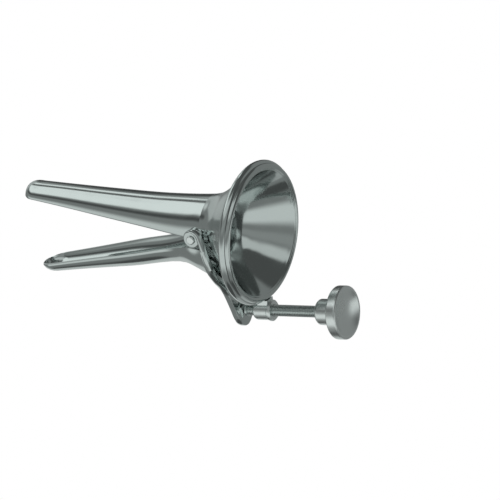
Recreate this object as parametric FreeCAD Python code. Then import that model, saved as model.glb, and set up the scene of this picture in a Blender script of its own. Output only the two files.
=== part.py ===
"""Self-retaining bivalve speculum opened by a thumb screw.

Millimetres. +X runs out of the funnel's mouth towards the user, -X towards the blade tips, Y is
the hinge axis and +Z is up, with the screw below. The origin is the centre of the mouth's rim.
The pose at rest is the open one; closing turns the lower valve about +Y.
"""
import FreeCAD, Part
import math
import os
from FreeCAD import Vector

# Sheet and mouth
sheet = 0.8                     # thickness of the pressed steel
rim_radius = 18.5               # outermost radius of the rolled bead
bead_radius = 1.5               # section radius of the rolled bead
bead_seam = 0.35                # gap where the curled edge comes back to the cone
wire_clearance = 0.05           # between the wire and the sheet curled round it
cone_length = 10.17             # from the rim's plane back to where cone and neck would meet
neck_radius = 8.6               # outer radius of the neck
neck_setback = 1.0              # from the hinge's axis forward to the neck's rear end
neck_fillet = 4.0               # outer radius of the bend from neck to cone

# Fixed upper blade: place along the axis, half-width, height of the crown
blade_stations = (
    (-20.0, 7.2, 8.05),
    (-28.0, 6.6, 7.45),
    (-43.0, 5.7, 7.0),
    (-60.0, 4.7, 6.75),
    (-68.0, 4.4, 6.65),
)
tip_length = 4.0                # of the upper blade's rounded end, beyond its last station
tip_rounding = 0.4              # where its end face meets its sides
parting_x = -20.0               # a point of the line on which the blades meet
parting_z = -0.4
parting_rise = 0.069            # rise of that line per length towards the tips
parting_gap = 0.12              # between the two edges at the tips when closed
parting_root_gap = 1.0          # and at the start of that line

# Lower valve, in the closed pose: place along the axis, depth under the parting line
lower_stations = (
    (-24.0, 6.8, 6.45),
    (-43.0, 5.7, 5.05),
    (-60.0, 4.7, 3.95),
    (-68.0, 4.4, 3.5),
)
lower_tip_length = 5.2          # the lower blade reaches a little further
open_angle = 19.7               # from closed to the open pose at rest, degrees

# Hinge
hinge_x = -14.2
hinge_z = 0.6
lobe_radius = 2.3               # ear of the fixed valve round each rivet
eye_radius = 2.4
eye_thickness = 1.5
eye_gap = 0.1                   # between an eye and the fixed valve
rivet_radius = 0.8
rivet_head_radius = 1.15
rivet_head_height = 0.45
pivot_clearance = 0.05          # radial, round a rivet or the screw
funnel_clearance = 0.05         # least distance of the lower valve from the funnel

# Skirt of the lower valve, in the open pose: side edge x, how far it stands out beyond the funnel
# there, side z, bottom x, bottom z
skirt_stations = (
    (-16.2, 0.3, -2.2, -17.6, -11.0),
    (-13.4, 0.8, -2.1, -14.8, -12.1),
    (-11.6, 1.1, -2.0, -12.4, -12.8),
)
skirt_front_flare = 0.92        # the same at its front edge, which lies in the yoke's plate
skirt_front_side = 0.9          # depth of that edge's ends under the funnel's axis, along the plate
skirt_front_bottom = 12.3       # depth of its lowest point

# Yoke: a plate square to the screw and an arm to each eye
plate_thickness = 1.6
plate_shoulders = (             # how far it stands out beyond the skirt's front, depth under the axis
    (0.8, 0.3),
    (0.4, 3.7),
    (-0.7, 7.3),
    (-2.3, 9.7),
)
plate_foot = (                  # half-width, height over the screw's axis
    (5.9, 7.0),
    (4.2, 1.2),
    (3.6, -1.3),
    (2.4, -3.3),
)
plate_drop = 4.4                # bottom of the plate under the screw's axis
arm_line = (                    # middle of the arm, x and z from the hinge's axis
    (0.0, 0.0),
    (1.6, -0.1),
    (2.8, -1.3),
)
arm_end_depth = 1.4             # where it meets the plate, under the funnel's axis along the plate
arm_width = 2.0
seat_gap = 0.02                 # brazing gap between the skirt and the yoke
arm_thickness = 0.9
arm_step = 0.05                 # how far it stands back from the eye's outer face
arm_cover = 0.25                # and how far it at least stands out from the skirt's front
tongue_x = -8.0                 # where the screw crosses the plate's slotted tongue
tongue_thickness = 2.6          # across the crowned cheeks
tongue_width = 4.0
tongue_crown = 2.4              # radius of the cheeks
slot_height = 4.0

# Thumb screw: distances along its axis from the rim's plane
screw_drop = 3.2                # depth of the axis under the rim's lowest point
screw_tilt = 7.0                # rise of the axis towards the knob, degrees
screw_radius = 1.5
neck_pin_radius = 0.8           # reduced end that passes through the tongue
hub_start = 15.0
hub_radius = 3.3
hub_rounding = 0.9
hub_socket = 3.6                # depth of the hole that holds the rod
knob_face = 23.1
knob_thickness = 2.7
knob_radius = 6.75
knob_dish_radius = 5.9
knob_dish_depth = 1.3
knob_edge = 0.45
boss_front = 1.6
boss_rear = -3.8
boss_radius = 2.5
boss_rounding = 0.8
flange_radius = 2.75
flange_thickness = 1.2
flange_edge = 0.35
saddle_width = 3.0
saddle_front = 0.6
saddle_rear = -2.4
washer_radius = 1.75
washer_thickness = 0.5
button_radius = 1.6
button_thickness = 1.1
button_rounding = 0.5
tongue_play = 0.25              # between the tongue and what bears on it

X_AXIS = Vector(1, 0, 0)
Y_AXIS = Vector(0, 1, 0)
ORIGIN = Vector(0, 0, 0)
SECTION_POINTS = 13
TIP_TURNS = (35.0, 58.0, 73.0)  # degrees round the tip's elliptical outline in plan
TIP_FALL = 0.8                  # power by which its reach follows its half-width
LOFT_DEGREE = 3
RIVET_DOME = 0.8                # share of a rivet head's height that is rounded
OVER = 2.0                      # how far a cutting shape reaches past what it cuts


tip_x = blade_stations[-1][0] - tip_length
neck_rear = hinge_x + neck_setback
screw_z = -rim_radius - screw_drop


def parting_height(x):
    """Height of the line on which the closed blades meet."""
    return parting_z + (parting_x - x) * parting_rise


def lower_edge_height(x):
    """Height of the lower valve's edge in the closed pose; its gap narrows towards the tips."""
    share = (x - tip_x) / (parting_x - tip_x)
    return parting_height(x) - parting_gap - (parting_root_gap - parting_gap) * share


def to_open(point):
    """Where a point of the closed lower valve lies in the open pose."""
    turn = FreeCAD.Rotation(Y_AXIS, -open_angle)
    placement = FreeCAD.Placement(ORIGIN, turn, Vector(hinge_x, 0, hinge_z))
    return placement.multVec(point)


def revolve_face(edges):
    """Turns a closed profile in the XZ plane about the X axis."""
    face = Part.Face(Part.Wire(edges))
    return face.revolve(ORIGIN, X_AXIS, 360)


def cone_angle():
    """Half-angle at which the cone runs from its corner with the neck to the inside of the bead."""
    rise = rim_radius - bead_radius - neck_radius
    return math.atan2(rise, cone_length) - math.asin((bead_radius - sheet) / math.hypot(rise, cone_length))


def funnel_profile(inset):
    """Corner points of the cone and neck at a depth under the outer surface."""
    angle = cone_angle()
    bead_centre = rim_radius - bead_radius
    outward = bead_radius - sheet + inset
    start = (outward * math.sin(angle), bead_centre - outward * math.cos(angle))
    fillet = neck_fillet + inset
    radius = neck_radius - inset
    turn = fillet * math.tan(angle / 2)
    corner_x = start[0] - (start[1] - radius) / math.tan(angle)
    neck_point = (corner_x - turn, radius)
    cone_point = (corner_x + turn * math.cos(angle), radius + turn * math.sin(angle))
    middle_turn = angle / 2
    middle = (neck_point[0] + fillet * math.sin(middle_turn), radius + fillet * (1 - math.cos(middle_turn)))
    return neck_point, middle, cone_point, start


def funnel_radius(x):
    """Outer radius of the funnel behind its bead."""
    neck_point, _, cone_point, _ = funnel_profile(0)
    if x < neck_point[0]:
        return neck_radius
    if x < cone_point[0]:
        along = x - neck_point[0]
        return neck_radius + neck_fillet - math.sqrt(neck_fillet ** 2 - along ** 2)
    return cone_point[1] + (x - cone_point[0]) * math.tan(cone_angle())


def in_xz(point):
    return Vector(point[0], 0, point[1])


def funnel_space(clearance):
    """Room that neck and cone take, for cutting what lies round them."""
    neck_point, middle, cone_point, start = funnel_profile(-clearance)
    rear = Vector(neck_rear, 0, 0)
    rear_edge = Vector(neck_rear, 0, neck_radius + clearance)
    front = Vector(start[0], 0, 0)
    return revolve_face([
        Part.LineSegment(rear, rear_edge).toShape(),
        Part.LineSegment(rear_edge, in_xz(neck_point)).toShape(),
        Part.Arc(in_xz(neck_point), in_xz(middle), in_xz(cone_point)).toShape(),
        Part.LineSegment(in_xz(cone_point), in_xz(start)).toShape(),
        Part.LineSegment(in_xz(start), front).toShape(),
        Part.LineSegment(front, rear).toShape(),
    ])


def make_funnel():
    outer = funnel_profile(0)
    inner = funnel_profile(sheet)
    neck_outer = Vector(neck_rear, 0, neck_radius)
    neck_inner = Vector(neck_rear, 0, neck_radius - sheet)
    edges = [
        Part.LineSegment(neck_outer, in_xz(outer[0])).toShape(),
        Part.Arc(in_xz(outer[0]), in_xz(outer[1]), in_xz(outer[2])).toShape(),
        Part.LineSegment(in_xz(outer[2]), in_xz(outer[3])).toShape(),
        Part.LineSegment(in_xz(outer[3]), in_xz(inner[3])).toShape(),
        Part.LineSegment(in_xz(inner[3]), in_xz(inner[2])).toShape(),
        Part.Arc(in_xz(inner[2]), in_xz(inner[1]), in_xz(inner[0])).toShape(),
        Part.LineSegment(in_xz(inner[0]), neck_inner).toShape(),
        Part.LineSegment(neck_inner, neck_outer).toShape(),
    ]
    cone = revolve_face(edges)
    bead_centre = rim_radius - bead_radius
    bead = Part.makeTorus(bead_centre, bead_radius, ORIGIN, X_AXIS)
    channel = Part.makeTorus(bead_centre, bead_radius - sheet, ORIGIN, X_AXIS)
    seam_outer = Part.makeCylinder(bead_centre + bead_seam, bead_radius + OVER, Vector(-bead_radius - OVER, 0, 0), X_AXIS)
    seam_inner = Part.makeCylinder(bead_centre, bead_radius + OVER, Vector(-bead_radius - OVER, 0, 0), X_AXIS)
    return bead.fuse(cone).cut(channel).cut(seam_outer.cut(seam_inner)).removeSplitter()


def make_rim_wire():
    wire_radius = bead_radius - sheet - wire_clearance
    return Part.makeTorus(rim_radius - bead_radius, wire_radius, ORIGIN, X_AXIS)


def half_section(side, reach, half_width, extend):
    """Closed half-ellipse: side is the middle of its chord, reach goes from there to its far point.

    extend makes the section a little taller past its chord, for a clean cut.
    """
    points = []
    for i in range(SECTION_POINTS):
        angle = math.pi * i / (SECTION_POINTS - 1)
        points.append(side + Y_AXIS * (half_width * math.cos(angle)) + reach * math.sin(angle))
    curve = Part.BSplineCurve()
    curve.interpolate(points)
    edges = [curve.toShape()]
    last = points[-1]
    if extend:
        back = reach * (-extend / reach.Length)
        edges.append(Part.LineSegment(last, last + back).toShape())
        edges.append(Part.LineSegment(last + back, points[0] + back).toShape())
        edges.append(Part.LineSegment(points[0] + back, points[0]).toShape())
    else:
        edges.append(Part.LineSegment(last, points[0]).toShape())
    return Part.Wire(edges)


def loft_sections(sections, inset, extend=0):
    """Solid through half-elliptical sections given as (chord middle, far point, half-width)."""
    wires = []
    for side, far, half_width in sections:
        reach = far - side
        reach = reach * (1 - inset / reach.Length)
        wires.append(half_section(side, reach, half_width - inset, extend))
    return Part.makeLoft(wires, True, False, False, LOFT_DEGREE)


def with_tip(stations, length):
    """Stations (x, half-width, reach from the edge) continued round the blade's tip."""
    last_x, half_width, reach = stations[-1]
    continued = list(stations)
    for turn in TIP_TURNS:
        across = math.cos(math.radians(turn))
        x = last_x - length * math.sin(math.radians(turn))
        continued.append((x, half_width * across, reach * across ** TIP_FALL))
    return continued


def upper_sections(inset):
    lower_z = parting_height(neck_rear)
    half = math.sqrt(neck_radius ** 2 - lower_z ** 2)
    sections = [(Vector(neck_rear, 0, lower_z), Vector(neck_rear, 0, neck_radius), half)]
    stations = [(x, half_width, crown - parting_height(x)) for x, half_width, crown in blade_stations]
    for x, half_width, reach in with_tip(stations, tip_length - inset):
        edge_z = parting_height(x)
        sections.append((Vector(x, 0, edge_z), Vector(x, 0, edge_z + reach), half_width))
    return sections


def lower_sections(inset):
    """Sections of the lower blade from its root to its tip, in the open pose."""
    sections = []
    for x, half_width, depth in with_tip(lower_stations, lower_tip_length - inset):
        edge_z = lower_edge_height(x)
        side = to_open(Vector(x, 0, edge_z))
        far = to_open(Vector(x, 0, edge_z - depth))
        sections.append((side, far, half_width))
    return sections


def skirt_front():
    """Chord middle, far point and half-width of the skirt's front edge."""
    front = tongue_distance() + plate_thickness / 2
    side = on_screw(front, -screw_z - skirt_front_side)
    bottom = on_screw(front, -screw_z - skirt_front_bottom)
    return side, bottom, funnel_radius(side.x) + skirt_front_flare


def skirt_sections():
    """Sections of the lower valve's skirt from its front edge to the blade's root."""
    sections = [skirt_front()]
    for side_x, flare, side_z, bottom_x, bottom_z in reversed(skirt_stations):
        half_width = funnel_radius(side_x) + flare
        sections.append((Vector(side_x, 0, side_z), Vector(bottom_x, 0, bottom_z), half_width))
    sections.append(lower_sections(0)[0])
    return sections


def blade_shell(sections_at):
    """Outside and inside of a half-tube of even thickness with a rounded end."""
    sections = sections_at(0)
    outer = loft_sections(sections, 0)
    middle_of_end = (sections[-1][0] + sections[-1][1]) * 0.5
    end_face = min(outer.Faces, key=lambda f: (f.CenterOfMass - middle_of_end).Length)
    curved_edge = max(end_face.Edges, key=lambda e: e.Length)
    outer = outer.makeFillet(tip_rounding, [curved_edge])
    return outer, loft_sections(sections_at(sheet), sheet, OVER)


def hinge_cylinder(radius, y_from, y_to):
    """Cylinder about the hinge axis between two distances from the middle, on the +Y side."""
    return Part.makeCylinder(radius, y_to - y_from, Vector(hinge_x, y_from, hinge_z), Y_AXIS)


def mirrored(shape):
    return shape.mirror(ORIGIN, Y_AXIS)


def make_upper_blade():
    outer, inner = blade_shell(upper_sections)
    blade = outer.cut(inner)
    lobe = hinge_cylinder(lobe_radius, neck_radius - sheet, neck_radius)
    hole = hinge_cylinder(rivet_radius, 0, neck_radius + OVER)
    return blade.fuse([lobe, mirrored(lobe)]).cut([funnel_space(0), hole, mirrored(hole)])


def eye_face():
    """Distance from the middle to the outer face of an eye."""
    return neck_radius + eye_gap + eye_thickness


def rivet_face():
    """Distance from the middle to the underside of a rivet's head."""
    return eye_face() + eye_gap


def make_rivet():
    face = rivet_face()
    shank = hinge_cylinder(rivet_radius, neck_radius - sheet, face)
    head = hinge_cylinder(rivet_head_radius, face, face + rivet_head_height)
    outer_edge = max(head.Edges, key=lambda e: e.CenterOfMass.y)
    head = head.makeFillet(rivet_head_height * RIVET_DOME, [outer_edge])
    return shank.fuse(head)


def make_lower_blade():
    outer, inner = blade_shell(lower_sections)
    outer = outer.fuse(loft_sections(skirt_sections(), 0))
    inner = inner.fuse(loft_sections(skirt_sections(), sheet, OVER))
    room = hinge_cylinder(eye_radius + eye_gap, 0, rivet_face())
    return outer.cut(inner).cut([room, mirrored(room), funnel_space(funnel_clearance)])


def on_screw(distance, height=0.0, y=0.0):
    """Point at a distance along the screw's axis and a height square to it."""
    angle = math.radians(screw_tilt)
    x = distance * math.cos(angle) - height * math.sin(angle)
    z = screw_z + distance * math.sin(angle) + height * math.cos(angle)
    return Vector(x, y, z)


def screw_direction():
    return on_screw(1) - on_screw(0)


def screw_cylinder(radius, start, end):
    return Part.makeCylinder(radius, end - start, on_screw(start), screw_direction())


def tongue_distance():
    """Where the screw crosses the tongue, along the screw's axis."""
    return tongue_x / math.cos(math.radians(screw_tilt))


def make_plate():
    """Plate of the yoke, square to the screw, with crowned cheeks and a slot for the screw's neck."""
    rear = tongue_distance() - plate_thickness / 2
    skirt_half_width = skirt_front()[2]
    outline = [(skirt_half_width + flare, -screw_z - depth) for flare, depth in plate_shoulders]
    outline += plate_foot
    right = [on_screw(rear, height, half_width) for half_width, height in outline]
    left = [on_screw(rear, height, -half_width) for half_width, height in reversed(outline)]
    curve = Part.BSplineCurve()
    curve.interpolate(right + [on_screw(rear, -plate_drop)] + left)
    top = Part.LineSegment(left[-1], right[0])
    face = Part.Face(Part.Wire([curve.toShape(), top.toShape()]))
    plate = face.extrude(screw_direction() * plate_thickness)
    crown_shift = tongue_crown - tongue_thickness / 2
    half_width = tongue_width / 2
    discs = []
    for shift in (crown_shift, -crown_shift):
        base = on_screw(tongue_distance() + shift, 0, -half_width)
        discs.append(Part.makeCylinder(tongue_crown, tongue_width, base, Y_AXIS))
    cheeks = discs[0].common(discs[1])
    slot_radius = neck_pin_radius + pivot_clearance
    straight = slot_height / 2 - slot_radius
    length = tongue_thickness * 2
    slot = Part.makeBox(length, slot_radius * 2, straight * 2, Vector(-tongue_thickness, -slot_radius, -straight))
    ends = [Part.makeCylinder(slot_radius, length, Vector(-tongue_thickness, 0, z), X_AXIS) for z in (-straight, straight)]
    slot = slot.fuse(ends)
    slot.Placement = FreeCAD.Placement(on_screw(tongue_distance()), FreeCAD.Rotation(Y_AXIS, -screw_tilt))
    return plate.fuse(cheeks).cut(slot)


def make_arm():
    """Arm from the eye on the +Y side down to the plate."""
    arm_inside = eye_face() - arm_step - arm_thickness
    arm_outside = max(eye_face() - arm_step, skirt_front()[2] + arm_cover)
    middle = Part.BSplineCurve()
    points = [Vector(hinge_x + x, arm_inside, hinge_z + z) for x, z in arm_line]
    points.append(on_screw(tongue_distance(), -screw_z - arm_end_depth, arm_inside))
    middle.interpolate(points)
    upper = []
    lower = []
    for i in range(SECTION_POINTS):
        share = i / (SECTION_POINTS - 1)
        parameter = middle.FirstParameter + (middle.LastParameter - middle.FirstParameter) * share
        tangent = middle.tangent(parameter)[0]
        across = tangent.cross(Y_AXIS) * (arm_width / 2)
        upper.append(middle.value(parameter) + across)
        lower.append(middle.value(parameter) - across)
    sides = []
    for points in (upper, lower):
        side = Part.BSplineCurve()
        side.interpolate(points)
        sides.append(side.toShape())
    edges = [
        sides[0],
        Part.LineSegment(upper[-1], lower[-1]).toShape(),
        sides[1],
        Part.LineSegment(lower[0], upper[0]).toShape(),
    ]
    outline = Part.Wire(Part.__sortEdges__(edges))
    return Part.Face(outline).extrude(Y_AXIS * (arm_outside - arm_inside))


def make_yoke():
    eye = hinge_cylinder(eye_radius, neck_radius + eye_gap, eye_face())
    hole = hinge_cylinder(rivet_radius + pivot_clearance, 0, rivet_face() + OVER)
    hole = hole.fuse(hinge_cylinder(rivet_head_radius + pivot_clearance, eye_face(), rivet_face() + OVER))
    arm = make_arm()
    skirt_space = loft_sections(skirt_sections(), -seat_gap, OVER)
    neck_space = hinge_cylinder(lobe_radius + eye_gap, 0, neck_radius + eye_gap)
    body = make_plate().fuse([arm, mirrored(arm)]).cut(skirt_space)
    body = body.fuse([eye, mirrored(eye)])
    return body.cut([hole, mirrored(hole), neck_space, mirrored(neck_space), funnel_space(funnel_clearance)])


def make_screw_boss():
    sleeve = screw_cylinder(boss_radius, boss_rear, boss_front - flange_thickness)
    rear_edge = min(sleeve.Edges, key=lambda e: e.CenterOfMass.x)
    sleeve = sleeve.makeFillet(boss_rounding, [rear_edge])
    flange = screw_cylinder(flange_radius, boss_front - flange_thickness, boss_front)
    flange = flange.makeChamfer(flange_edge, [e for e in flange.Edges if e.Closed])
    top = bead_radius - rim_radius
    length = saddle_front - saddle_rear
    saddle = Part.makeBox(length, saddle_width, top - screw_z, Vector(saddle_rear, -saddle_width / 2, screw_z))
    bead = Part.makeTorus(rim_radius - bead_radius, bead_radius, ORIGIN, X_AXIS)
    inside = Part.makeCylinder(rim_radius - bead_radius, length + OVER, Vector(saddle_rear - OVER, 0, 0), X_AXIS)
    saddle = saddle.cut([bead, inside])
    bore = screw_cylinder(screw_radius + pivot_clearance, boss_rear - OVER, boss_front + OVER)
    return sleeve.fuse([flange, saddle]).cut(bore)


def shoulder_distance():
    """Where the full rod ends and its reduced neck begins."""
    return tongue_distance() + tongue_thickness / 2 + tongue_play + washer_thickness


def button_distance():
    """Rear face of the button behind the tongue."""
    return tongue_distance() - tongue_thickness / 2 - tongue_play - button_thickness


def make_screw_rod():
    rod = screw_cylinder(screw_radius, shoulder_distance(), hub_start + hub_socket)
    neck = screw_cylinder(neck_pin_radius, button_distance(), shoulder_distance())
    return rod.fuse(neck)


def make_thrust_washer():
    start = shoulder_distance() - washer_thickness
    ring = screw_cylinder(washer_radius, start, shoulder_distance())
    return ring.cut(screw_cylinder(neck_pin_radius + pivot_clearance, start - OVER, start + OVER))


def make_tip_button():
    start = button_distance()
    button = screw_cylinder(button_radius, start, start + button_thickness)
    rear_edge = min([e for e in button.Edges if e.Closed], key=lambda e: e.CenterOfMass.x)
    button = button.makeFillet(button_rounding, [rear_edge])
    return button.cut(screw_cylinder(neck_pin_radius, start - OVER, start + OVER))


def make_thumb_knob():
    hub = screw_cylinder(hub_radius, hub_start, knob_face - knob_thickness)
    rear_edge = min([e for e in hub.Edges if e.Closed], key=lambda e: e.CenterOfMass.x)
    hub = hub.makeFillet(hub_rounding, [rear_edge])
    head = screw_cylinder(knob_radius, knob_face - knob_thickness, knob_face)
    head = head.makeFillet(knob_edge, [e for e in head.Edges if e.Closed])
    ball_radius = (knob_dish_radius ** 2 + knob_dish_depth ** 2) / (2 * knob_dish_depth)
    dish = Part.makeSphere(ball_radius, on_screw(knob_face - knob_dish_depth + ball_radius))
    socket = screw_cylinder(screw_radius, hub_start - OVER, hub_start + hub_socket)
    return hub.fuse(head).cut([dish, socket])


nodes = {
    "funnel": make_funnel(),
    "rim_wire": make_rim_wire(),
    "upper_blade": make_upper_blade(),
    "screw_boss": make_screw_boss(),
    "hinge_rivet_left": make_rivet(),
    "hinge_rivet_right": mirrored(make_rivet()),
    "lower_blade": make_lower_blade(),
    "yoke": make_yoke(),
    "thrust_washer": make_thrust_washer(),
    "screw_rod": make_screw_rod(),
    "tip_button": make_tip_button(),
    "thumb_knob": make_thumb_knob(),
}

os.makedirs("parts", exist_ok=True)
for name, shape in nodes.items():
    print(name, len(shape.Solids), "valid", shape.isValid(), "volume %.1f" % shape.Volume)
    shape.exportStep("parts/%s.step" % name)
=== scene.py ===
"""Looks of a small bivalve speculum in polished steel, on a plain pale ground.

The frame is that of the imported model: +X out of the funnel's mouth, -X towards the blade tips, +Z up
with the thumb screw underneath. Sizes are in millimetres here and become metres in the meshes.
"""
import math

import bmesh
import bpy
import numpy as np
from mathutils import Matrix, Vector


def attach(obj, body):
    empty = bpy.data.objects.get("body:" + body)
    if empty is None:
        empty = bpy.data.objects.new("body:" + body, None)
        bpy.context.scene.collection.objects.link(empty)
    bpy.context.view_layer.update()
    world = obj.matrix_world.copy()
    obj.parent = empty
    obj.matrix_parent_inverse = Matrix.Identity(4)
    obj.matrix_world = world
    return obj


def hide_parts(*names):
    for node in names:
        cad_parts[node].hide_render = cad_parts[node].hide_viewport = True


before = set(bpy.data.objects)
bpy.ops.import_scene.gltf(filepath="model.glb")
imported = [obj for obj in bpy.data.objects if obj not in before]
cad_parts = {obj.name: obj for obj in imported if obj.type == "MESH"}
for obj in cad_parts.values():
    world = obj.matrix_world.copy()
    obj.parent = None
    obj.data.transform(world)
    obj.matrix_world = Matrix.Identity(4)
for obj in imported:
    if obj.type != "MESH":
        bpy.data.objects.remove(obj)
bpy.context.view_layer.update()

MM = 0.001

# Camera, in degrees; azimuth 0 is towards -Y and 90 towards +X
CAMERA_PLACE = Vector((209.5, -327.91, 167.11)) * MM
CAMERA_AZIMUTH = 33.02
CAMERA_ELEVATION = 23.78
CAMERA_ROLL = 6.81
CAMERA_LENS = 121.5
CAMERA_NEAR = 0.01
CAMERA_FAR = 20

# Studio round the object, with the same azimuths.
# Each card, in degrees but for its level: azimuth, elevation, half-width, half-height, softness, level
STUDIO_BASE = 0.24
STUDIO_CARDS = (
    (-150, 22, 16, 26, 10, 0.07),
    (180, 62, 100, 22, 10, 0.09),
    (10, -18, 72, 18, 16, 0.72),
    (15, 53, 62, 14, 10, 0.62),
    (20, 25, 60, 8, 9, 0.32),
    (-52, 24, 28, 5, 8, 0.08),
    (-92, 45, 44, 11, 7, 1.0),
    (-118, 14, 20, 16, 10, 0.52),
    (-118, 46, 7, 9, 6, 0.15),
    (98, 8, 22, 56, 12, 0.09),
    (104, -14, 17, 11, 8, 0.75),
    (-20, -75, 95, 18, 9, 0.08),
    (-135, -48, 32, 18, 12, 0.60),
    (175, -75, 60, 14, 12, 0.42),
    (0, 90, 180, 16, 8, 0.12),
)
STUDIO_TINT = (0.95, 1.0, 0.985)
WHITE = (1, 1, 1, 1)

# Ground, in metres
FLOOR_HEIGHT = -0.30
FLOOR_REACH = 3.0

# Steel
STEEL_COLOUR = (0.62, 0.665, 0.655, 1)
# Lighter copy of the steel's colour for the turned parts: the same steel, with painted sheen
PAINTED_SHEEN_STEEL_COLOUR = (0.84, 0.88, 0.87, 1)
SMEAR_RATIO = 12                # how much broader the smears are than the polishing marks
NOISE_LOW = 0.3
NOISE_HIGH = 0.7
SMEAR_DETAIL = 3
MARKS_DETAIL = 4
RELIEF_DEPTH = 0.02 * MM
LATHE_GRAIN = 900
LATHE_SPREAD = 0.04
LATHE_RINGS = 7000              # per metre
LATHE_DETAIL = 2

# Thumb screw: distances along its axis from the rim's plane
SCREW_HEIGHT = -21.7
SCREW_TILT = math.radians(7.0)
THREAD_RADIUS = 1.5
THREAD_DEPTH = 0.307
THREAD_PITCH = 0.5
THREAD_CREST = 0.0625
THREAD_ROOT = 0.125
THREAD_CHAMFER = 0.35
PIN_RADIUS = 0.8
PIN_END_RADIUS = 0.6
PIN_START = -10.66
PIN_CHAMFER = 0.2
SHOULDER = -6.01
ROD_END = 18.5
RINGS_PER_PITCH = 12
ROD_SIDES = 40

# Meshes
SHARP_ANGLE = 35.0
MERGE_DISTANCE = 0.002
FUNNEL_SIDES = 144
HINGE_SIDES = 48
FUNNEL_STEPS = 6
UPPER_STEPS = 5
LOWER_STEPS = 6
PLATE_STEPS = 5
ARM_STEPS = 6
TUBE_POINTS = 28
TIP_STEPS = 9
LIP_TURNS = (45, 90, 135)
LIP_SHARE = 0.35                # largest height of a rounded edge, as a share of its half-tube's
SMALLEST = 1e-6

# Sheet, hinge (x and z) and the line on which the closed blades meet
SHEET = 0.8
HINGE = (-14.2, 0.6)
OPEN_ANGLE = 19.7
TIP_X = -72.0
PARTING_X = -20.0
PARTING_Z = -0.4
PARTING_RISE = 0.069
PARTING_GAP = 0.12
PARTING_ROOT_GAP = 1.0

# Outside and inside of the funnel: place along the axis, radius to the sides, radius to the crown
FUNNEL_OUTSIDE = (
    (-13.2, 8.1, 8.65), (-11.0, 8.9, 9.2), (-9.0, 10.1, 10.2), (-7.0, 11.55, 11.6),
    (-5.0, 13.0, 13.0), (-2.5, 14.85, 14.85), (-1.45, 15.65, 15.65), (-1.25, 16.2, 16.2),
)
FUNNEL_INSIDE = (
    (0.55, 15.65, 15.65), (-2.5, 13.55, 13.55), (-5.0, 11.85, 11.85), (-7.0, 10.45, 10.45),
    (-9.0, 9.1, 9.15), (-11.0, 8.0, 8.25), (-13.2, 7.3, 7.85),
)
# Rolled rim: centre x and radius, section radius, first and last angle in degrees, steps
RIM_BEAD = (-0.45, 17.3, 1.1, 228, 22, 16)
RIM_ROLL = (0.65, 16.9, 0.8, 78, -38, 10)
RIM_LIP = ((1.1, 16.27), (1.12, 16.13), (1.02, 15.98), (0.8, 15.85))

# Upper blade from the funnel to the tip: place, half-width, height of the crown
UPPER_STATIONS = (
    (-13.2, 8.1, 8.65), (-16.0, 7.6, 8.35), (-20.0, 7.2, 8.0), (-28.0, 6.6, 7.45),
    (-43.0, 5.7, 7.0), (-60.0, 4.7, 6.75), (-68.0, 4.4, 6.65),
)
UPPER_TIP = 4.0
UPPER_TIP_POWER = 2.6
TIP_FALL = 0.8
ROUND_START = -24.0             # from here its section turns into the funnel's
ROUND_LENGTH = 9.0
# Ear round each rivet: radius, distance from the middle
EAR_PROFILE = ((0.0, 7.0), (2.3, 7.0), (2.3, 8.45), (2.15, 8.6), (0.0, 8.6))

# Skirt in the open pose: side x and z, bottom x and z, half-width
SKIRT_STATIONS = (
    (-9.74, -1.94, -8.6, -14.4, 10.8), (-11.6, -2.0, -12.2, -13.3, 10.0),
    (-13.4, -2.1, -14.6, -12.35, 9.45), (-16.2, -2.2, -17.4, -11.15, 8.9),
)
# Lower blade in the closed pose: place, half-width, depth under its edge
LOWER_STATIONS = ((-24.0, 6.8, 6.45), (-43.0, 5.7, 5.05), (-60.0, 4.7, 3.95), (-68.0, 4.4, 3.5))
LOWER_TIP = 5.2
LOWER_TIP_POWER = 2.1

# Yoke's plate between two distances along the screw, and the hole that the skirt fills
PLATE_REAR = -8.86
PLATE_FRONT = -7.26
PLATE_HOLE_TOP = 20.8
PLATE_HOLE_DEPTH = 12.5
PLATE_HOLE_LAP = 0.1
# Its outline: half-width, height over the screw, angle of the hole's edge across from it
PLATE_OUTLINE = (
    (11.6, 21.2, 0), (11.3, 18.0, 14), (10.3, 14.4, 32), (8.7, 11.4, 46), (5.9, 7.0, 62),
    (4.2, 1.2, 72), (3.6, -1.3, 79), (2.4, -3.3, 85), (0.0, -4.4, 90),
)
# Its rounded edge: distance along the screw, distance in from the outline
PLATE_EDGE = (
    (PLATE_REAR, 0.5), (PLATE_REAR + 0.15, 0.15), (PLATE_REAR + 0.5, 0.0),
    (PLATE_FRONT - 0.5, 0.0), (PLATE_FRONT - 0.15, 0.15), (PLATE_FRONT, 0.5),
)
# Crowned tongue
TONGUE_CROWN = 2.4
TONGUE_SHIFT = 1.1
TONGUE_HALF_HEIGHT = 2.1
TONGUE_HALF_WIDTH = 2.0
TONGUE_STEPS = 12
# Eye round each rivet: radius, distance from the middle
EYE_PROFILE = (
    (0.85, 8.7), (2.2, 8.7), (2.4, 8.9), (2.4, 9.8),
    (2.33, 10.02), (2.15, 10.17), (1.9, 10.2), (0.85, 10.2),
)
# Arm from the top of the eye to the plate: x, distance from the middle, z, half-width
ARM_PATH = (
    (-15.4, 8.75, 2.1, 0.35), (-13.9, 8.85, 2.7, 0.55), (-12.4, 9.1, 2.1, 0.7), (-11.3, 9.6, 0.4, 0.75),
    (-10.4, 10.1, -1.9, 0.75), (-9.6, 10.3, -4.4, 0.7), (-9.0, 10.0, -6.8, 0.6),
)
# Rounded section of the arm, as shares of its half-width and distances outwards
ARM_SECTION = (
    (1.0, 0.35), (1.0, 0.9), (0.85, 1.2), (0.5, 1.35), (0.0, 1.4), (-0.5, 1.35), (-0.85, 1.2),
    (-1.0, 0.9), (-1.0, 0.35), (-0.6, 0.0), (0.6, 0.0),
)


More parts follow.
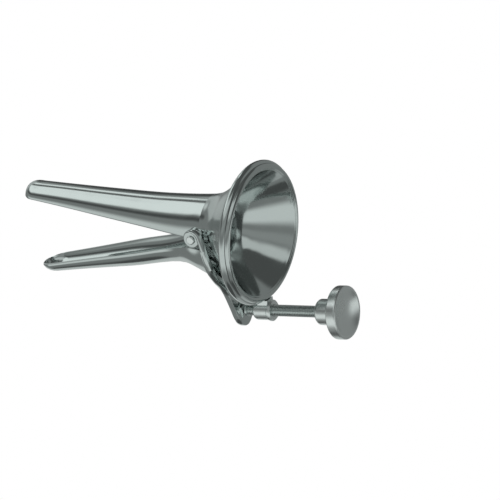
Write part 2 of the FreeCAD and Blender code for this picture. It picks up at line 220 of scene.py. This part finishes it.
class Graph:
    """Small helper that wires shader nodes; an input may be a number or another node's output."""

    def __init__(self, tree):
        self.tree = tree

    def node(self, kind, **settings):
        made = self.tree.nodes.new(kind)
        for name, value in settings.items():
            setattr(made, name, value)
        return made

    def feed(self, socket, value):
        if isinstance(value, bpy.types.NodeSocket):
            self.tree.links.new(value, socket)
        else:
            socket.default_value = value

    def math(self, operation, *values):
        made = self.node("ShaderNodeMath", operation=operation)
        for socket, value in zip(made.inputs, values):
            self.feed(socket, value)
        return made.outputs[0]

    def window(self, distance, half, soft):
        """1 where a distance is well under half, 0 well over it, and smooth between."""
        made = self.node("ShaderNodeMapRange", interpolation_type="SMOOTHSTEP")
        made.inputs["From Min"].default_value = half - soft / 2
        made.inputs["From Max"].default_value = half + soft / 2
        made.inputs["To Min"].default_value = 1
        made.inputs["To Max"].default_value = 0
        self.feed(made.inputs["Value"], distance)
        return made.outputs["Result"]

    def blend(self, factor, first, second):
        """Mix of two numbers."""
        made = self.node("ShaderNodeMix", data_type="FLOAT")
        self.feed(made.inputs["Factor"], factor)
        self.feed(made.inputs["A"], first)
        self.feed(made.inputs["B"], second)
        return made.outputs["Result"]

    def choose(self, factor, first, second):
        """Mix of two shader nodes."""
        made = self.node("ShaderNodeMixShader")
        self.feed(made.inputs[0], factor)
        self.feed(made.inputs[1], first.outputs[0])
        self.feed(made.inputs[2], second.outputs[0])
        return made.outputs[0]

    def noise(self, place, scale, detail, dimensions="3D"):
        made = self.node("ShaderNodeTexNoise", noise_dimensions=dimensions)
        made.inputs["Scale"].default_value = scale
        made.inputs["Detail"].default_value = detail
        self.feed(made.inputs["Vector"], place)
        return made.outputs["Fac"]

    def project(self, place, direction):
        """How far a place lies along a fixed direction."""
        made = self.node("ShaderNodeVectorMath", operation="DOT_PRODUCT")
        self.feed(made.inputs[0], place)
        made.inputs[1].default_value = direction
        return made.outputs["Value"]

    def relief(self, shader, height, strength):
        """Roughens a shader's surface by a height."""
        made = self.node("ShaderNodeBump")
        made.inputs["Strength"].default_value = strength
        made.inputs["Distance"].default_value = RELIEF_DEPTH
        self.feed(made.inputs["Height"], height)
        self.feed(shader.inputs["Normal"], made.outputs["Normal"])


def camera():
    """Camera of the photo's view."""
    azimuth = math.radians(CAMERA_AZIMUTH)
    elevation = math.radians(CAMERA_ELEVATION)
    roll = math.radians(CAMERA_ROLL)
    back = Vector((
        math.sin(azimuth) * math.cos(elevation),
        -math.cos(azimuth) * math.cos(elevation),
        math.sin(elevation),
    ))
    level = Vector((math.cos(azimuth), math.sin(azimuth), 0))
    upright = back.cross(level)
    right = level * math.cos(roll) - upright * math.sin(roll)
    up = back.cross(right)
    data = bpy.data.cameras.new("camera")
    data.lens = CAMERA_LENS
    data.clip_start = CAMERA_NEAR
    data.clip_end = CAMERA_FAR
    obj = bpy.data.objects.new("camera", data)
    rotation = Matrix((right, up, back)).transposed()
    obj.matrix_world = Matrix.Translation(CAMERA_PLACE) @ rotation.to_4x4()
    bpy.context.collection.objects.link(obj)
    bpy.context.scene.camera = obj


def studio():
    """Light tent with soft cards; the camera itself sees plain white."""
    world = bpy.data.worlds.new("studio")
    world.use_nodes = True
    tree = world.node_tree
    tree.nodes.clear()
    graph = Graph(tree)
    direction = graph.node("ShaderNodeTexCoord").outputs["Generated"]
    split = graph.node("ShaderNodeSeparateXYZ")
    graph.feed(split.inputs[0], direction)
    towards_front = graph.math("MULTIPLY", split.outputs["Y"], -1.0)
    azimuth = graph.math("ARCTAN2", split.outputs["X"], towards_front)
    elevation = graph.math("ARCSINE", split.outputs["Z"])
    level = STUDIO_BASE
    for card_azimuth, card_elevation, half_width, half_height, soft, card_level in STUDIO_CARDS:
        aside = graph.math("SUBTRACT", azimuth, math.radians(card_azimuth))
        aside = graph.math("ABSOLUTE", graph.math("WRAP", aside, math.pi, -math.pi))
        above = graph.math("SUBTRACT", elevation, math.radians(card_elevation))
        above = graph.math("ABSOLUTE", above)
        across = graph.window(aside, math.radians(half_width), math.radians(soft))
        upward = graph.window(above, math.radians(half_height), math.radians(soft))
        level = graph.blend(graph.math("MULTIPLY", across, upward), level, card_level)
    colour = graph.node("ShaderNodeVectorMath", operation="SCALE")
    colour.inputs[0].default_value = STUDIO_TINT
    graph.feed(colour.inputs["Scale"], level)
    cards = graph.node("ShaderNodeBackground")
    graph.feed(cards.inputs["Color"], colour.outputs[0])
    white = graph.node("ShaderNodeBackground")
    white.inputs["Color"].default_value = WHITE
    seen = graph.node("ShaderNodeLightPath").outputs["Is Camera Ray"]
    chosen = graph.choose(seen, cards, white)
    graph.feed(graph.node("ShaderNodeOutputWorld").inputs["Surface"], chosen)
    bpy.context.scene.world = world


def floor():
    """White ground far under the object; only its upper side shows."""
    mesh = bpy.data.meshes.new("floor")
    sides = ((-1, -1), (1, -1), (1, 1), (-1, 1))
    corners = [(FLOOR_REACH * x, FLOOR_REACH * y, FLOOR_HEIGHT) for x, y in sides]
    mesh.from_pydata(corners, [], [(0, 1, 2, 3)])
    obj = bpy.data.objects.new("floor", mesh)
    bpy.context.collection.objects.link(obj)
    material = bpy.data.materials.new("white_ground")
    material.use_nodes = True
    tree = material.node_tree
    tree.nodes.clear()
    graph = Graph(tree)
    path = graph.node("ShaderNodeLightPath").outputs["Is Camera Ray"]
    behind = graph.node("ShaderNodeNewGeometry").outputs["Backfacing"]
    seen = graph.math("MULTIPLY", path, graph.math("SUBTRACT", 1.0, behind))
    clear = graph.node("ShaderNodeBsdfTransparent")
    white = graph.node("ShaderNodeEmission")
    graph.feed(graph.node("ShaderNodeOutputMaterial").inputs["Surface"], graph.choose(seen, clear, white))
    mesh.materials.append(material)


def on_screw(distance, height=0.0, aside=0.0):
    """Point at a distance along the screw's axis and a height square to it."""
    x = distance * math.cos(SCREW_TILT) - height * math.sin(SCREW_TILT)
    z = SCREW_HEIGHT + distance * math.sin(SCREW_TILT) + height * math.cos(SCREW_TILT)
    return Vector((x, aside, z))


def steel(name, colour, roughness, spread, grain):
    """Bare steel whose roughness varies in soft smears; grain is the polishing marks' scale."""
    material = bpy.data.materials.new(name)
    material.use_nodes = True
    graph = Graph(material.node_tree)
    shader = material.node_tree.nodes["Principled BSDF"]
    shader.inputs["Metallic"].default_value = 1
    shader.inputs["Base Color"].default_value = colour
    place = graph.node("ShaderNodeTexCoord").outputs["Object"]
    smears = graph.noise(place, grain / SMEAR_RATIO, SMEAR_DETAIL)
    varied = graph.node("ShaderNodeMapRange")
    varied.inputs["From Min"].default_value = NOISE_LOW
    varied.inputs["From Max"].default_value = NOISE_HIGH
    varied.inputs["To Min"].default_value = roughness - spread
    varied.inputs["To Max"].default_value = roughness + spread
    graph.feed(varied.inputs["Value"], smears)
    graph.feed(shader.inputs["Roughness"], varied.outputs["Result"])
    return material, graph, shader, place


def polished_steel(name, roughness, spread, grain, relief):
    """Steel with fine polishing marks in all directions."""
    material, graph, shader, place = steel(name, STEEL_COLOUR, roughness, spread, grain)
    graph.relief(shader, graph.noise(place, grain, MARKS_DETAIL), relief)
    return material


def turned_steel(name, colour, roughness, relief):
    """Steel with the lathe's fine rings round the screw's axis."""
    material, graph, shader, place = steel(name, colour, roughness, LATHE_SPREAD, LATHE_GRAIN)
    along = graph.project(place, (math.cos(SCREW_TILT), 0, math.sin(SCREW_TILT)))
    height = graph.project(place, (-math.sin(SCREW_TILT), 0, math.cos(SCREW_TILT)))
    over_axis = graph.math("SUBTRACT", height, SCREW_HEIGHT * MM * math.cos(SCREW_TILT))
    split = graph.node("ShaderNodeSeparateXYZ")
    graph.feed(split.inputs[0], place)
    upward = graph.math("MULTIPLY", over_axis, over_axis)
    sideways = graph.math("MULTIPLY", split.outputs["Y"], split.outputs["Y"])
    ring_place = graph.node("ShaderNodeCombineXYZ")
    graph.feed(ring_place.inputs["X"], graph.math("SQRT", graph.math("ADD", upward, sideways)))
    graph.feed(ring_place.inputs["Y"], along)
    rings = graph.noise(ring_place.outputs[0], LATHE_RINGS, LATHE_DETAIL, "2D")
    graph.relief(shader, rings, relief)
    return material


def thread_radius(distance, turn):
    """Radius of the threaded rod at a distance along its axis and a share of a turn."""
    phase = (distance / THREAD_PITCH - turn) % 1.0
    from_crest = abs(phase - 0.5) * THREAD_PITCH
    flank = (THREAD_PITCH - THREAD_CREST - THREAD_ROOT) / 2
    fall = min(max((from_crest - THREAD_CREST / 2) / flank, 0.0), 1.0)
    radius = THREAD_RADIUS - THREAD_DEPTH * fall
    bottom = THREAD_RADIUS - THREAD_DEPTH
    return min(radius, bottom + max(distance - SHOULDER, 0.0) * THREAD_DEPTH / THREAD_CHAMFER)


def threaded_rod():
    """Rod with a helical thread, and the thinner pin that passes through the tongue."""
    rings = [(PIN_START, PIN_END_RADIUS), (PIN_START + PIN_CHAMFER, PIN_RADIUS), (SHOULDER, PIN_RADIUS)]
    count = round((ROD_END - SHOULDER) / THREAD_PITCH * RINGS_PER_PITCH)
    for i in range(count + 1):
        rings.append((SHOULDER + (ROD_END - SHOULDER) * i / count, None))
    vertices = []
    for distance, fixed_radius in rings:
        for j in range(ROD_SIDES):
            turn = j / ROD_SIDES
            radius = fixed_radius or thread_radius(distance, turn)
            angle = 2 * math.pi * turn
            vertices.append(on_screw(distance, radius * math.cos(angle), radius * math.sin(angle)) * MM)
    faces = []
    for i in range(len(rings) - 1):
        for j in range(ROD_SIDES):
            k = (j + 1) % ROD_SIDES
            low = i * ROD_SIDES
            high = low + ROD_SIDES
            faces.append((low + j, low + k, high + k, high + j))
    faces.append(tuple(reversed(range(ROD_SIDES))))
    last = (len(rings) - 1) * ROD_SIDES
    faces.append(tuple(range(last, last + ROD_SIDES)))
    mesh = bpy.data.meshes.new("threaded_rod")
    mesh.from_pydata([tuple(v) for v in vertices], [], faces)
    mesh.shade_smooth()
    obj = bpy.data.objects.new("threaded_rod", mesh)
    bpy.context.collection.objects.link(obj)
    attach(obj, "thumb_screw")
    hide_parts("screw_rod")
    return obj


def smooth_rows(stations, steps):
    """Points of a smooth curve through stations, which are tuples of numbers."""
    points = np.array(stations, float)
    gaps = np.linalg.norm(np.diff(points, axis=0), axis=1)
    pace = np.diff(points, axis=0) / gaps[:, None]
    slopes = np.empty_like(points)
    slopes[0] = pace[0]
    slopes[-1] = pace[-1]
    weights = (gaps[:-1] + gaps[1:])[:, None]
    slopes[1:-1] = (pace[:-1] * gaps[1:, None] + pace[1:] * gaps[:-1, None]) / weights
    rows = []
    for i, gap in enumerate(gaps):
        for t in np.arange(steps) / steps:
            start = (1 + 2 * t) * (1 - t) ** 2 * points[i] + t * (1 - t) ** 2 * gap * slopes[i]
            end = t * t * (3 - 2 * t) * points[i + 1] + t * t * (t - 1) * gap * slopes[i + 1]
            rows.append(start + end)
    rows.append(points[-1])
    return rows


def piece(name, body, shells):
    """Mesh object from shells, each a list of loops of points and whether the last joins the first."""
    bm = bmesh.new()
    for loops, closed in shells:
        rings = [[bm.verts.new(Vector(p) * MM) for p in loop] for loop in loops]
        count = len(rings[0])
        pairs = list(zip(rings, rings[1:]))
        if closed:
            pairs.append((rings[-1], rings[0]))
        for low, high in pairs:
            for j in range(count):
                k = (j + 1) % count
                bm.faces.new((low[j], low[k], high[k], high[j]))
        if not closed:
            bm.faces.new(list(reversed(rings[0])))
            bm.faces.new(rings[-1])
    bmesh.ops.remove_doubles(bm, verts=bm.verts, dist=MERGE_DISTANCE * MM)
    bmesh.ops.recalc_face_normals(bm, faces=bm.faces)
    mesh = bpy.data.meshes.new(name)
    bm.to_mesh(mesh)
    bm.free()
    mesh.shade_smooth()
    mesh.set_sharp_from_angle(angle=math.radians(SHARP_ANGLE))
    obj = bpy.data.objects.new(name, mesh)
    bpy.context.collection.objects.link(obj)
    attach(obj, body)
    return obj


def arc(centre_x, centre_r, radius, start, end, steps):
    """Points (x, radius) round part of a circle in the section of the rim."""
    points = []
    for i in range(steps + 1):
        angle = math.radians(start + (end - start) * i / steps)
        points.append((centre_x + radius * math.cos(angle), centre_r + radius * math.sin(angle)))
    return points


def make_funnel():
    """Cone, neck and rolled rim as one sheet turned round the axis."""
    outside = smooth_rows(FUNNEL_OUTSIDE, FUNNEL_STEPS)
    rim = arc(*RIM_BEAD) + arc(*RIM_ROLL) + list(RIM_LIP)
    inside = smooth_rows(FUNNEL_INSIDE, FUNNEL_STEPS)
    profile = outside + [(x, r, r) for x, r in rim] + inside
    loops = []
    for i in range(FUNNEL_SIDES):
        angle = 2 * math.pi * i / FUNNEL_SIDES
        loops.append([(x, y * math.cos(angle), z * math.sin(angle)) for x, y, z in profile])
    return piece("flared_funnel", "fixed_valve", [(loops, True)])


def half_tube_loop(outer, inner, ring_share=0.0):
    """Closed section of a half-tube; outer and inner are each (chord middle, far point, half-width).

    ring_share blends the section into the funnel's, which is centred on the axis.
    """
    halves = []
    for side, far, half_width in (outer, inner):
        reach = far - side
        length = max(reach.length, SMALLEST)
        lift = min(SHEET / 2, length * LIP_SHARE)
        first = math.asin(lift / length)
        points = []
        for i in range(TUBE_POINTS + 1):
            angle = first + (math.pi - 2 * first) * i / TUBE_POINTS
            point = side + reach * math.sin(angle) + Vector((0, half_width * math.cos(angle), 0))
            if ring_share:
                ring_start = math.asin((side.z + SHEET / 2) / far.z)
                ring_angle = ring_start + (math.pi - 2 * ring_start) * i / TUBE_POINTS
                ring = Vector((side.x, half_width * math.cos(ring_angle), far.z * math.sin(ring_angle)))
                point = point.lerp(ring, ring_share)
            points.append(point)
        halves.append(points)
    outer_points, inner_points = halves
    down = outer[0] - outer[1]
    down = down / max(down.length, SMALLEST)
    loop = list(outer_points)
    loop += lip(outer_points[-1], inner_points[-1], down)
    loop += list(reversed(inner_points))
    loop += lip(inner_points[0], outer_points[0], down)
    return loop


def lip(start, end, down):
    """Points round the edge of the sheet between its outer and inner face."""
    middle = (start + end) / 2
    half = (start - end) / 2
    points = []
    for turn in LIP_TURNS:
        angle = math.radians(turn)
        points.append(middle + half * math.cos(angle) + down * (half.length * math.sin(angle)))
    return points


def parting_height(x):
    """Height of the line on which the closed blades meet."""
    return PARTING_Z + (PARTING_X - x) * PARTING_RISE


def lower_edge_height(x):
    """Height of the lower blade's edge in the closed pose."""
    share = (x - TIP_X) / (PARTING_X - TIP_X)
    return parting_height(x) - PARTING_GAP - (PARTING_ROOT_GAP - PARTING_GAP) * share


def to_open(x, z):
    """Where a point of the closed lower valve lies in the open pose."""
    angle = math.radians(-OPEN_ANGLE)
    across = x - HINGE[0]
    up = z - HINGE[1]
    return Vector((
        HINGE[0] + across * math.cos(angle) + up * math.sin(angle), 0,
        HINGE[1] - across * math.sin(angle) + up * math.cos(angle),
    ))


def tip_rows(last_x, length, power):
    """Places along the axis and shares of the width, round a blade's tip."""
    rows = []
    for i in range(1, TIP_STEPS + 1):
        turn = math.pi / 2 * i / TIP_STEPS
        run = math.sin(turn)
        share = max(1 - run ** power, 0.0) ** (1 / power)
        rows.append((last_x - length * run, share))
    return rows


def tip_loops(last_x, half_width, reach, length, power, section):
    """Loops round a blade's tip; section gives chord middle and far point from a place and a height."""
    outer_rows = tip_rows(last_x, length, power)
    inner_rows = tip_rows(last_x, length - SHEET, power)
    loops = []
    for (outer_x, share), (inner_x, _) in zip(outer_rows, inner_rows):
        fall = share ** TIP_FALL
        outer = (*section(outer_x, reach * fall), half_width * share)
        inner = (*section(inner_x, (reach - SHEET) * fall), (half_width - SHEET) * share)
        loops.append(half_tube_loop(outer, inner))
    return loops


def upper_section(x, height):
    """Chord middle and crown of the upper blade."""
    side = Vector((x, 0, parting_height(x)))
    return side, side + Vector((0, 0, height))


def lower_section(x, depth):
    """Chord middle and bottom of the lower blade, in the open pose."""
    edge = lower_edge_height(x)
    return to_open(x, edge), to_open(x, edge - depth)


def make_upper_blade():
    """Half-tube that runs into the funnel, with an ear for each rivet."""
    loops = []
    for x, half_width, crown in smooth_rows(UPPER_STATIONS, UPPER_STEPS):
        side = Vector((x, 0, parting_height(x)))
        far = Vector((x, 0, crown))
        inner_far = Vector((x, 0, crown - SHEET))
        share = min(max((x - ROUND_START) / ROUND_LENGTH, 0.0), 1.0)
        share = share * share * (3 - 2 * share)
        outer = (side, far, half_width)
        inner = (side, inner_far, half_width - SHEET)
        loops.append(half_tube_loop(outer, inner, share))
    last_x, half_width, crown = UPPER_STATIONS[-1]
    reach = crown - parting_height(last_x)
    loops += tip_loops(last_x, half_width, reach, UPPER_TIP, UPPER_TIP_POWER, upper_section)
    shells = [(loops, False)]
    for side in (1, -1):
        shells.append((hinge_lathe(EAR_PROFILE, side), True))
    return piece("polished_upper_blade", "fixed_valve", shells)


def hinge_lathe(profile, side):
    """Loops round the hinge's axis of a profile given as radius and distance from the middle."""
    loops = []
    for i in range(HINGE_SIDES):
        angle = 2 * math.pi * i / HINGE_SIDES
        loops.append([
            (HINGE[0] + r * math.cos(angle), side * y, HINGE[1] + r * math.sin(angle)) for r, y in profile
        ])
    return loops


def make_lower_blade():
    """Half-tube and its skirt, drawn in the open pose."""
    rows = list(SKIRT_STATIONS)
    for x, half_width, depth in LOWER_STATIONS:
        side, far = lower_section(x, depth)
        rows.append((side.x, side.z, far.x, far.z, half_width))
    loops = []
    for side_x, side_z, far_x, far_z, half_width in smooth_rows(rows, LOWER_STEPS):
        side = Vector((side_x, 0, side_z))
        far = Vector((far_x, 0, far_z))
        reach = far - side
        inner_far = side + reach * (1 - SHEET / reach.length)
        outer = (side, far, half_width)
        inner = (side, inner_far, half_width - SHEET)
        loops.append(half_tube_loop(outer, inner))
    last_x, half_width, depth = LOWER_STATIONS[-1]
    loops += tip_loops(last_x, half_width, depth, LOWER_TIP, LOWER_TIP_POWER, lower_section)
    return piece("polished_lower_blade", "lower_valve", [(loops, False)])


def plate_loops():
    """Sections of the yoke's plate, each from the skirt's hole out to the plate's rounded edge."""
    mirrored = [(-y, h, 180 - a) for y, h, a in reversed(PLATE_OUTLINE[:-1])]
    skirt_half_width = SKIRT_STATIONS[0][-1]
    loops = []
    for y, h, a in smooth_rows(list(PLATE_OUTLINE) + mirrored, PLATE_STEPS):
        angle = math.radians(a)
        hole_height = PLATE_HOLE_TOP - PLATE_HOLE_DEPTH * math.sin(angle)
        hole = Vector((skirt_half_width * math.cos(angle), hole_height))
        edge = Vector((y, h))
        out = (edge - hole).normalized()
        hole = hole + out * PLATE_HOLE_LAP
        loop = [on_screw(PLATE_REAR, hole.y, hole.x)]
        for distance, back in PLATE_EDGE:
            point = edge - out * back
            loop.append(on_screw(distance, point.y, point.x))
        loop.append(on_screw(PLATE_FRONT, hole.y, hole.x))
        loops.append(loop)
    return loops


def tongue_loops():
    """Crowned pads on both faces of the plate, where the screw crosses it."""
    lens = []
    for i in range(TONGUE_STEPS + 1):
        h = TONGUE_HALF_HEIGHT * (2 * i / TONGUE_STEPS - 1)
        lens.append((math.sqrt(TONGUE_CROWN ** 2 - h * h) - TONGUE_SHIFT, h))
    middle = (PLATE_REAR + PLATE_FRONT) / 2
    outline = [(middle + t, h) for t, h in lens] + [(middle - t, h) for t, h in reversed(lens)]
    return [[on_screw(d, h, y) for d, h in outline] for y in (-TONGUE_HALF_WIDTH, TONGUE_HALF_WIDTH)]


def arm_loops(side):
    """Sections along the arm on one side."""
    path = smooth_rows(ARM_PATH, ARM_STEPS)
    loops = []
    for i, (x, y, z, half_width) in enumerate(path):
        before = path[max(i - 1, 0)]
        after = path[min(i + 1, len(path) - 1)]
        tangent = Vector((after[0] - before[0], 0, after[2] - before[2])).normalized()
        across = Vector((tangent.z, 0, -tangent.x))
        loop = []
        for share, outward in ARM_SECTION:
            point = Vector((x, y + outward, z)) + across * (half_width * share)
            loop.append((point.x, side * point.y, point.z))
        loops.append(loop)
    return loops


def make_yoke():
    """Plate and tongue, with an eye and an arm on each side."""
    shells = [(plate_loops(), False), (tongue_loops(), False)]
    for side in (1, -1):
        shells.append((hinge_lathe(EYE_PROFILE, side), True))
        shells.append((arm_loops(side), False))
    return piece("polished_yoke", "lower_valve", shells)


def finish_nodes():
    """Gives every visible surface its steel, and the pressed parts their smooth meshes."""
    polished = polished_steel("polished_steel", roughness=0.11, spread=0.03, grain=2500, relief=0.03)
    wire = polished_steel("drawn_wire", roughness=0.3, spread=0.05, grain=1500, relief=0.1)
    # The turned parts get the lighter copy of the steel colour, a painted sheen
    turned = turned_steel("turned_steel", PAINTED_SHEEN_STEEL_COLOUR, roughness=0.28, relief=0.12)
    threaded_rod().data.materials.append(turned_steel("cut_thread", STEEL_COLOUR, roughness=0.22, relief=0))
    pressed = {
        "funnel": make_funnel(),
        "upper_blade": make_upper_blade(),
        "lower_blade": make_lower_blade(),
        "yoke": make_yoke(),
    }
    for node, obj in pressed.items():
        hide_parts(node)
        obj.data.materials.append(polished)
    for name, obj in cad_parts.items():
        if name in pressed:
            chosen = polished
        elif name == "rim_wire":
            chosen = wire
        else:
            chosen = turned
        for slot in obj.material_slots:
            slot.material = chosen


camera()
studio()
floor()
finish_nodes()
bpy.context.scene.view_settings.view_transform = "Standard"
